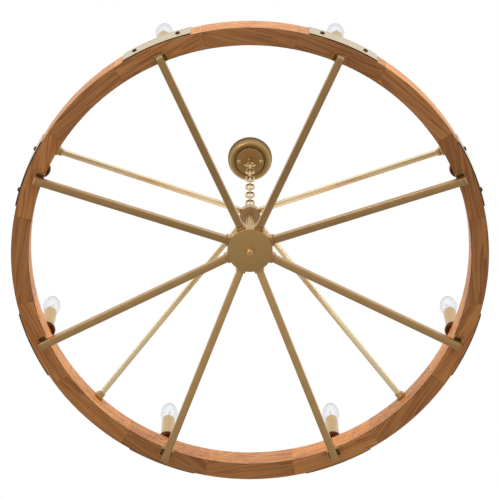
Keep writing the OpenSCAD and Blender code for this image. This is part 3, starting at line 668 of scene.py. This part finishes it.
def stained_oak():
    """Stained open-grained hardwood: streaks some millimetres wide, fibres, dark pores, satin lacquer.

    Real pores are a quarter of a millimetre wide, which is too fine to show, so they are drawn 0.8 mm
    wide and longer than real ones. The eased edges, which each point's darkening marks, are painted
    darker as a painted shade line."""
    streaks_to_band = 5.0
    pore_depth = 0.1 * MM
    material, tree = new_material("stained_hardwood")
    place = add_node(tree, "ShaderNodeAttribute", attribute_name="lay").outputs["Vector"]
    noises = []
    for along, across, settings in (
            (320 * MM, 14 * MM, {"Detail": 2.0, "Roughness": 0.5, "Distortion": 0.3}),
            (110 * MM, 2.2 * MM, {"Detail": 3.0, "Roughness": 0.6}),
            (26 * MM, 0.8 * MM, {"Detail": 1.0})):
        stretch = [1 / along, 1 / across, 1 / across]
        spread = add_node(tree, "ShaderNodeMapping", {"Vector": place, "Scale": stretch})
        noise = add_node(tree, "ShaderNodeTexNoise", {"Vector": spread.outputs[0], "Scale": 1.0, **settings})
        noises.append(noise.outputs["Fac"])
    bands, fibres, pores = noises
    board = add_node(tree, "ShaderNodeTexNoise", {"Vector": place, "Scale": 0.7, "Detail": 0.0})
    rings = add_node(tree, "ShaderNodeMath", {0: bands, 1: streaks_to_band}, operation="MULTIPLY")
    rings = add_node(tree, "ShaderNodeMath", {0: rings.outputs[0]}, operation="FRACT")
    grain = add_node(tree, "ShaderNodeMix", {"Factor": 0.55, "A": rings.outputs[0], "B": fibres})
    ramp = add_node(tree, "ShaderNodeValToRGB", {"Fac": grain.outputs["Result"]})
    stains = ramp.color_ramp.elements
    stains[0].position, stains[0].color = 0.15, linear("#8c502b")
    stains[1].position, stains[1].color = 0.88, linear("#aa6a3b")
    stains.new(0.42).color = linear("#b87640")
    stains.new(0.62).color = linear("#ca8b4e")
    lift = add_node(tree, "ShaderNodeMapRange", {
        "Value": board.outputs["Fac"], "From Min": 0.3, "From Max": 0.7, "To Min": 0.76, "To Max": 1.18})
    toned = add_node(tree, "ShaderNodeMix", {"Factor": 1.0}, data_type="RGBA", blend_type="MULTIPLY")
    tree.links.new(ramp.outputs["Color"], toned.inputs["A"])
    tree.links.new(lift.outputs["Result"], toned.inputs["B"])
    open_pore = add_node(tree, "ShaderNodeMapRange", {
        "Value": pores, "From Min": 0.62, "From Max": 0.75, "To Min": 0.0, "To Max": 0.35})
    pored = add_node(tree, "ShaderNodeMix", {"Factor": open_pore.outputs["Result"]}, data_type="RGBA")
    tree.links.new(toned.outputs["Result"], pored.inputs["A"])
    pored.inputs["B"].default_value = linear("#55341c")
    # Painted shade: the eased edges are darkened towards this brown.
    edge = add_node(tree, "ShaderNodeAttribute", attribute_name="tarnish_and_shade").outputs["Fac"]
    edge_shaded = add_node(tree, "ShaderNodeMix", {"Factor": edge}, data_type="RGBA")
    tree.links.new(pored.outputs["Result"], edge_shaded.inputs["A"])
    edge_shaded.inputs["B"].default_value = linear("#5e3a20")
    height = add_node(tree, "ShaderNodeMath", {
        0: fibres, 1: open_pore.outputs["Result"]}, operation="SUBTRACT")
    relief = add_node(tree, "ShaderNodeBump", {
        "Height": height.outputs[0], "Strength": 0.12, "Distance": pore_depth})
    gloss = add_node(tree, "ShaderNodeMapRange", {"Value": fibres, "To Min": 0.42, "To Max": 0.58})
    shader = add_node(tree, "ShaderNodeBsdfPrincipled", {
        "Base Color": edge_shaded.outputs["Result"], "Roughness": gloss.outputs["Result"], "IOR": 1.5,
        "Specular IOR Level": 0.35, "Normal": relief.outputs["Normal"]})
    add_node(tree, "ShaderNodeOutputMaterial", {"Surface": shader.outputs[0]})
    return material


WOOD = stained_oak()
WOOD_H = wood_top - wood_z
WOOD_EDGE = 1.6 * MM
GLUE_LINE = 0.35 * MM
EDGE_SHADE = 0.6
FELLOE_COUNT = 2 * LAMP_COUNT
FELLOE_TURN = math.tau / FELLOE_COUNT
FELLOE_STEPS = 10
GRAIN_SKEW = (4, -9, 14, -3, 8, -14, 1)
# Each board takes its grain from a place metres away from the last one's.
NEXT_BOARD = (7.3, 3.1, 1.7)


def felloe(bm, lay, index):
    """One glued segment: a rounded section spun through a sixteenth of a turn, its ends eased."""
    corners = [(wood_in_r, 0), (WHEEL_R, 0), (WHEEL_R, WOOD_H), (wood_in_r, WOOD_H)]
    section = bm.faces.new([bm.verts.new((r, 0, z)) for r, z in corners])
    out = bmesh.ops.bevel(bm, geom=list(section.verts), offset=WOOD_EDGE, segments=4, profile=0.5,
                          affect="VERTICES", material=-1)
    section = next(f for f in bm.faces if set(out["verts"]) <= set(f.verts))
    before = set(bm.verts) - set(section.verts)
    rim = list(section.verts) + list(section.edges)
    bmesh.ops.delete(bm, geom=[section], context="FACES_ONLY")
    spun = bmesh.ops.spin(bm, geom=rim, axis=(0, 0, 1), angle=FELLOE_TURN, steps=FELLOE_STEPS)
    ends = [[g for g in rim if isinstance(g, bmesh.types.BMEdge)],
            [g for g in spun["geom_last"] if isinstance(g, bmesh.types.BMEdge)]]
    faces = [bmesh.ops.contextual_create(bm, geom=end)["faces"][0] for end in ends]
    around = list({e for f in faces for e in f.edges})
    bmesh.ops.bevel(bm, geom=around, offset=GLUE_LINE, segments=1, profile=0.5, affect="EDGES", material=-1)
    made = [v for v in bm.verts if v not in before]
    bmesh.ops.recalc_face_normals(bm, faces=list({f for v in made for f in v.link_faces}))
    skew = math.radians(GRAIN_SKEW[index % len(GRAIN_SKEW)])
    straight = Matrix.Rotation(-FELLOE_TURN / 2 + math.pi / 2 + skew, 4, "Z")
    board = Vector([step * index for step in NEXT_BOARD])
    for v in made:
        from_sides = min(abs(v.co.xy.length - r) for r in (wood_in_r, WHEEL_R))
        from_flats = min(abs(v.co.z - z) for z in (0, WOOD_H))
        # The eased edges are painted darker, a painted shade line along each edge.
        v[bm.verts.layers.float["tarnish_and_shade"]] = EDGE_SHADE * (min(from_sides, from_flats) > 0.05 * MM)
        v[lay] = straight @ v.co + board
    place = Matrix.Translation((0, 0, wood_z)) @ Matrix.Rotation(FELLOE_TURN * (index - 0.5), 4, "Z")
    bmesh.ops.transform(bm, matrix=place, verts=made)


for first, name in ((1, "felloes_with_lamp"), (0, "felloes_between")):
    bm, lay = new_skin()
    for index in range(first, FELLOE_COUNT, 2):
        felloe(bm, lay, index)
    set_piece(bm, name + "_wood", WOOD, "wheel", name, slot="wood")

# ---- Straps and bolts ----
# Eight plates rolled to the rim's curve from flat brass bar, their edges eased. Each is held to the
# wood by two carriage bolts with domed heads, browned to a dark bronze. The plates' downward faces take
# the same dark bronze as a painted shade line between plate and wood.

STRAP_BRASS = satin_brass("rolled_strap_brass", "#d8c7a8", "#b9a27c", 0.3, (90, 90, 4))
BRONZE_AND_SHADE = satin_brass("dark_bronze_and_painted_shade", "#574527", "#33271a", 0.38, (1, 1, 1))
strap_low, strap_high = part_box("strap_plates")
STRAP_H = strap_high.z - strap_low.z
STRAP_LEN = 138 * MM
STRAP_T = 2.5 * MM
STRAP_EDGE = 0.4 * MM
STRAP_STEPS = 16
BOLT_GAP = 87 * MM
HEAD_R = 4.5 * MM
HEAD_FOOT = 1.2 * MM
HEAD_DOME = 2.4 * MM
SHANK_R = 3 * MM
SHANK_LEN = 20 * MM
strap_turn = STRAP_LEN / WHEEL_R


def strap(bm, lay, place):
    """One plate: its section spun through its length about the wheel's axis, then its edges eased."""
    known = set(bm.verts)
    section = [(WHEEL_R, 0), (WHEEL_R + STRAP_T, 0), (WHEEL_R + STRAP_T, STRAP_H), (WHEEL_R, STRAP_H)]
    face = bm.faces.new([bm.verts.new((r, 0, z)) for r, z in section])
    rim = list(face.verts) + list(face.edges)
    bmesh.ops.delete(bm, geom=[face], context="FACES_ONLY")
    spun = bmesh.ops.spin(bm, geom=rim, axis=(0, 0, 1), angle=strap_turn, steps=STRAP_STEPS)
    for end in (rim, spun["geom_last"]):
        bmesh.ops.contextual_create(bm, geom=[g for g in end if isinstance(g, bmesh.types.BMEdge)])
    made = [v for v in bm.verts if v not in known]
    sharp = [e for e in {e for v in made for e in v.link_edges} if e.calc_face_angle(0) > 1]
    bmesh.ops.bevel(bm, geom=sharp, offset=STRAP_EDGE, segments=2, profile=0.5, affect="EDGES", material=-1)
    made = [v for v in bm.verts if v not in known]
    bmesh.ops.recalc_face_normals(bm, faces=list({f for v in made for f in v.link_faces}))
    for v in made:
        v[lay] = v.co
    bmesh.ops.transform(bm, matrix=place, verts=made)


bolt_line = [(0, HEAD_FOOT + HEAD_DOME)]
for turn in range(10, 91, 10):
    t = math.radians(turn)
    bolt_line.append((HEAD_R * math.sin(t), HEAD_FOOT + HEAD_DOME * math.cos(t)))
bolt_line += [(HEAD_R, 0), (SHANK_R, 0), (SHANK_R, -SHANK_LEN), (0, -SHANK_LEN)]
bolt_place = Matrix.Translation((WHEEL_R + STRAP_T, 0, (wood_z + wood_top) / 2))
bolt_place = bolt_place @ Matrix.Rotation(math.pi / 2, 4, "Y")
plates, heads = new_skin(), new_skin()
for number in range(1, LAMP_COUNT + 1):
    start = Matrix.Translation((0, 0, strap_low.z)) @ lamp_turn(number)
    strap(*plates, start @ Matrix.Rotation(-strap_turn / 2, 4, "Z"))
    for side in (-1, 1):
        turn = lamp_turn(number) @ Matrix.Rotation(side * BOLT_GAP / 2 / WHEEL_R, 4, "Z")
        lathe(*heads, bolt_line, turn @ bolt_place, steps=32)
straps = set_piece(plates[0], "straps", STRAP_BRASS, "wheel", "strap_plates", slot="pale_brass")
straps.data.materials.append(BRONZE_AND_SHADE)
# Faces that look down take the dark bronze: a painted shade line under each plate.
LOOKS_DOWN = -0.6
for face in straps.data.polygons:
    face.material_index = int(face.normal.z < LOOKS_DOWN)
set_piece(heads[0], "strap_bolt_heads", BRONZE_AND_SHADE, "wheel", "strap_bolts", slot="bronze")

# ---- Candle lamps ----
# On each of the eight places a spun drip cup stands on the wood, coloured red-brown as a painted
# reflection of the wood, with a drawn brass candle sleeve over a moulded screw socket.

SLEEVE_BRASS = satin_brass("drawn_sleeve_brass", "#caa971", "#9b7b49", 0.26, (4, 4, 80))
# The cup's red-brown is a painted reflection of the wood.
CUP_PAINTED_REFLECTION = satin_brass("spun_cup_painted_reflection", "#5f3218", "#42200d", 0.3, (4, 4, 4))
cup_low, cup_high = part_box("drip_cups")
sleeve_low, sleeve_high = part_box("candle_sleeves")
SLEEVE_R = 13 * MM
SLEEVE_T = 1 * MM
SLEEVE_H = sleeve_high.z - sleeve_low.z
CUP_R = 18 * MM
CUP_T = 1.2 * MM
CUP_H = cup_high.z - cup_low.z
CUP_FOOT_R = SLEEVE_R + 1 * MM
CUP_BORE = 5 * MM


def cup_side(lip_r, foot_z, rise, turns):
    """A quarter ellipse from the cup's foot out and up to its lip."""
    wide = lip_r - CUP_FOOT_R
    return [(CUP_FOOT_R + wide * math.sin(t), foot_z + rise * (1 - math.cos(t))) for t in turns]


rise = CUP_H - CUP_T
quarter = [math.radians(t) for t in range(0, 91, 9)]
under = cup_side(CUP_R, 0, rise, quarter)
over = cup_side(CUP_R - CUP_T, CUP_T, rise - CUP_T / 2, quarter[-2::-1])
lip = arc(CUP_R - CUP_T / 2, CUP_H - CUP_T / 2, CUP_T / 2, 0, 180, 6)
cup_line = [(CUP_BORE, 0)] + under + lip + over + [(CUP_BORE, CUP_T)]
sleeve_line = [
    (SLEEVE_R - SLEEVE_T, 0), (SLEEVE_R, 0), (SLEEVE_R, SLEEVE_H - 0.4 * MM),
    (SLEEVE_R - 0.3 * MM, SLEEVE_H), (SLEEVE_R - SLEEVE_T, SLEEVE_H)]
cups, sleeves = new_skin(), new_skin()
for number in range(1, LAMP_COUNT + 1):
    stand = lamp_turn(number) @ Matrix.Translation((LAMP_R, 0, cup_low.z))
    lathe(*cups, cup_line, stand, steps=64, closed=True)
    on_cup = stand @ Matrix.Translation((0, 0, CUP_T))
    lathe(*sleeves, sleeve_line, on_cup, steps=64, closed=True, turned=False)
set_piece(cups[0], "drip_cup_saucers", CUP_PAINTED_REFLECTION, "wheel", "drip_cups", slot="brass")
set_piece(sleeves[0], "candle_sleeve_tubes", SLEEVE_BRASS, "wheel", "candle_sleeves", slot="brass")


def ivory_plastic():
    """Moulded socket plastic: an even ivory with a slight sheen and a faint mottle."""
    mottle_size = 4 * MM
    material, tree = new_material("ivory_socket_plastic")
    place = add_node(tree, "ShaderNodeTexCoord").outputs["Object"]
    mottle = add_node(tree, "ShaderNodeTexNoise", {"Vector": place, "Scale": 1 / mottle_size, "Detail": 2.0})
    tone = add_node(tree, "ShaderNodeMix", {"Factor": mottle.outputs["Fac"]}, data_type="RGBA")
    tone.inputs["A"].default_value = linear("#e4dcc6")
    tone.inputs["B"].default_value = linear("#ece6d4")
    shader = add_node(tree, "ShaderNodeBsdfPrincipled", {
        "Base Color": tone.outputs["Result"], "Roughness": 0.4})
    add_node(tree, "ShaderNodeOutputMaterial", {"Surface": shader.outputs[0]})
    return material


coat_node(ivory_plastic(), "lamp_sockets")

# ---- Bulbs ----
# Clear candle bulbs with a small plated screw base. A blown glass envelope holds a glass mount, two
# support wires and a coiled filament.


def clear_glass():
    """Blown soda glass: colourless, smooth, and greyer at its outline, where one looks along the wall.

    It bends light less than real glass, so that the bulbs look as clear as real ones."""
    material, tree = new_material("clear_bulb_glass")
    facing = add_node(tree, "ShaderNodeLayerWeight", {"Blend": 0.3}).outputs["Facing"]
    tone = add_node(tree, "ShaderNodeMix", {"Factor": facing}, data_type="RGBA")
    tone.inputs["A"].default_value = linear("#ffffff")
    tone.inputs["B"].default_value = linear("#d3d3db")
    shader = add_node(tree, "ShaderNodeBsdfPrincipled", {
        "Base Color": tone.outputs["Result"], "Roughness": 0.02, "IOR": 1.18, "Transmission Weight": 1.0})
    add_node(tree, "ShaderNodeOutputMaterial", {"Surface": shader.outputs[0]})
    return material


def tungsten():
    """Tungsten and nickel wire: a grey drawn metal."""
    grain_size = 1.0 * MM
    material, tree = new_material("tungsten_wire")
    place = add_node(tree, "ShaderNodeTexCoord").outputs["Object"]
    grain = add_node(tree, "ShaderNodeTexNoise", {"Vector": place, "Scale": 1 / grain_size, "Detail": 2.0})
    tone = add_node(tree, "ShaderNodeMix", {"Factor": grain.outputs["Fac"]}, data_type="RGBA")
    tone.inputs["A"].default_value = linear("#8f8b84")
    tone.inputs["B"].default_value = linear("#b5b1a8")
    shader = add_node(tree, "ShaderNodeBsdfPrincipled", {
        "Base Color": tone.outputs["Result"], "Metallic": 1.0, "Roughness": 0.35})
    add_node(tree, "ShaderNodeOutputMaterial", {"Surface": shader.outputs[0]})
    return material


GLASS, TUNGSTEN = clear_glass(), tungsten()
bulb_low, bulb_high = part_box("bulb_1")
BASE_R = 5.95 * MM
BASE_H = 21 * MM
BULB_R = 17.5 * MM
BULB_NECK_R = 7.5 * MM
BELLY = 0.42
TIP_CURVE = 0.56
GLASS_T = 1 * MM
GLASS_STEPS = 40
glass_z = bulb_low.z + BASE_H
GLASS_H = bulb_high.z - glass_z


def glass_outline(inset):
    """The envelope's side from the neck to the rounded tip, as (radius, height)."""
    points = []
    for i in range(GLASS_STEPS + 1):
        share = i / GLASS_STEPS
        s = min(1, math.sin(math.pi / 2 * share) if share > 0.5 else share * math.sqrt(2))
        if s < BELLY:
            r = BULB_NECK_R + (BULB_R - BULB_NECK_R) * (1 - math.cos(math.pi * s / BELLY)) / 2
        else:
            r = BULB_R * math.cos(math.pi / 2 * (s - BELLY) / (1 - BELLY)) ** TIP_CURVE
        points.append((max(r - inset, 0), inset + (GLASS_H - 2 * inset) * s))
    return points


THREAD_LOW, THREAD_LEN = -2 * MM, 14 * MM
THREAD_TURNS, THREAD_STEPS = 6, 48
THREAD_DEPTH = 0.7 * MM
base_line = [(0, 0), (BASE_R, 0)]
for i in range(THREAD_STEPS + 1):
    wave = 1 - math.cos(math.tau * THREAD_TURNS * i / THREAD_STEPS)
    base_line.append((BASE_R - THREAD_DEPTH / 2 * wave, THREAD_LOW - THREAD_LEN * i / THREAD_STEPS))
CONTACT_R = 2.2 * MM
base_line += [(3.2 * MM, -18 * MM), (CONTACT_R, -18.4 * MM), (CONTACT_R, -20 * MM), (0, -20.6 * MM)]

MOUNT_FOOT_R, MOUNT_FOOT_Z = 5.5 * MM, 0.95 * MM
mount_line = [(0, MOUNT_FOOT_Z), (MOUNT_FOOT_R, MOUNT_FOOT_Z), (2.6 * MM, 9 * MM), (2.2 * MM, 12 * MM),
              (2.8 * MM, 17 * MM), (2.8 * MM, 20 * MM), (0, 20.6 * MM)]

SUPPORT_R, SUPPORT_LEN = 0.25 * MM, 22 * MM
SUPPORT_FOOT = Vector((2.2, 0, 20)) * MM
SUPPORT_LEAN = math.radians(10)
support_line = [(0, 0), (SUPPORT_R, 0), (SUPPORT_R, SUPPORT_LEN), (0, SUPPORT_LEN)]

COIL_Z = 41.5 * MM
COIL_R, COIL_WIRE, COIL_PITCH = 0.3 * MM, 0.2 * MM, 0.4 * MM
COIL_STEPS, COIL_END = 30, 6.2 * MM
coil_line = [(0, -COIL_END)]
for i in range(COIL_STEPS + 1):
    coil_line.append((COIL_R + COIL_WIRE * (i % 2), (i - COIL_STEPS / 2) * COIL_PITCH))
coil_line.append((0, COIL_END))

for number in range(1, LAMP_COUNT + 1):
    body = f"bulb_{number}"
    base = lamp_turn(number) @ Matrix.Translation((LAMP_R, 0, glass_z))
    bm, lay = new_skin()
    lathe(bm, lay, [(0, 0)] + glass_outline(0), base, steps=64)
    lathe(bm, lay, [(0, GLASS_T)] + glass_outline(GLASS_T), base, steps=64, inside=True)
    set_piece(bm, body + "_envelope", GLASS, body, body, slot="bulb_glass")
    bm, lay = new_skin()
    lathe(bm, lay, base_line, base, steps=40)
    set_piece(bm, body + "_screw_base", ZINC, body, slot="steel")
    bm, lay = new_skin()
    for side in (0, math.pi):
        spot = base @ Matrix.Rotation(side, 4, "Z") @ Matrix.Translation(SUPPORT_FOOT)
        lathe(bm, lay, support_line, spot @ Matrix.Rotation(SUPPORT_LEAN, 4, "Y"), steps=8)
    coil = base @ Matrix.Translation((0, 0, COIL_Z)) @ Matrix.Rotation(math.pi / 2, 4, "Y")
    lathe(bm, lay, coil_line, coil, steps=10)
    set_piece(bm, body + "_filament", TUNGSTEN, body, slot="steel")
    bm, lay = new_skin()
    lathe(bm, lay, mount_line, base, steps=24)
    set_piece(bm, body + "_mount", GLASS, body, slot="bulb_glass")
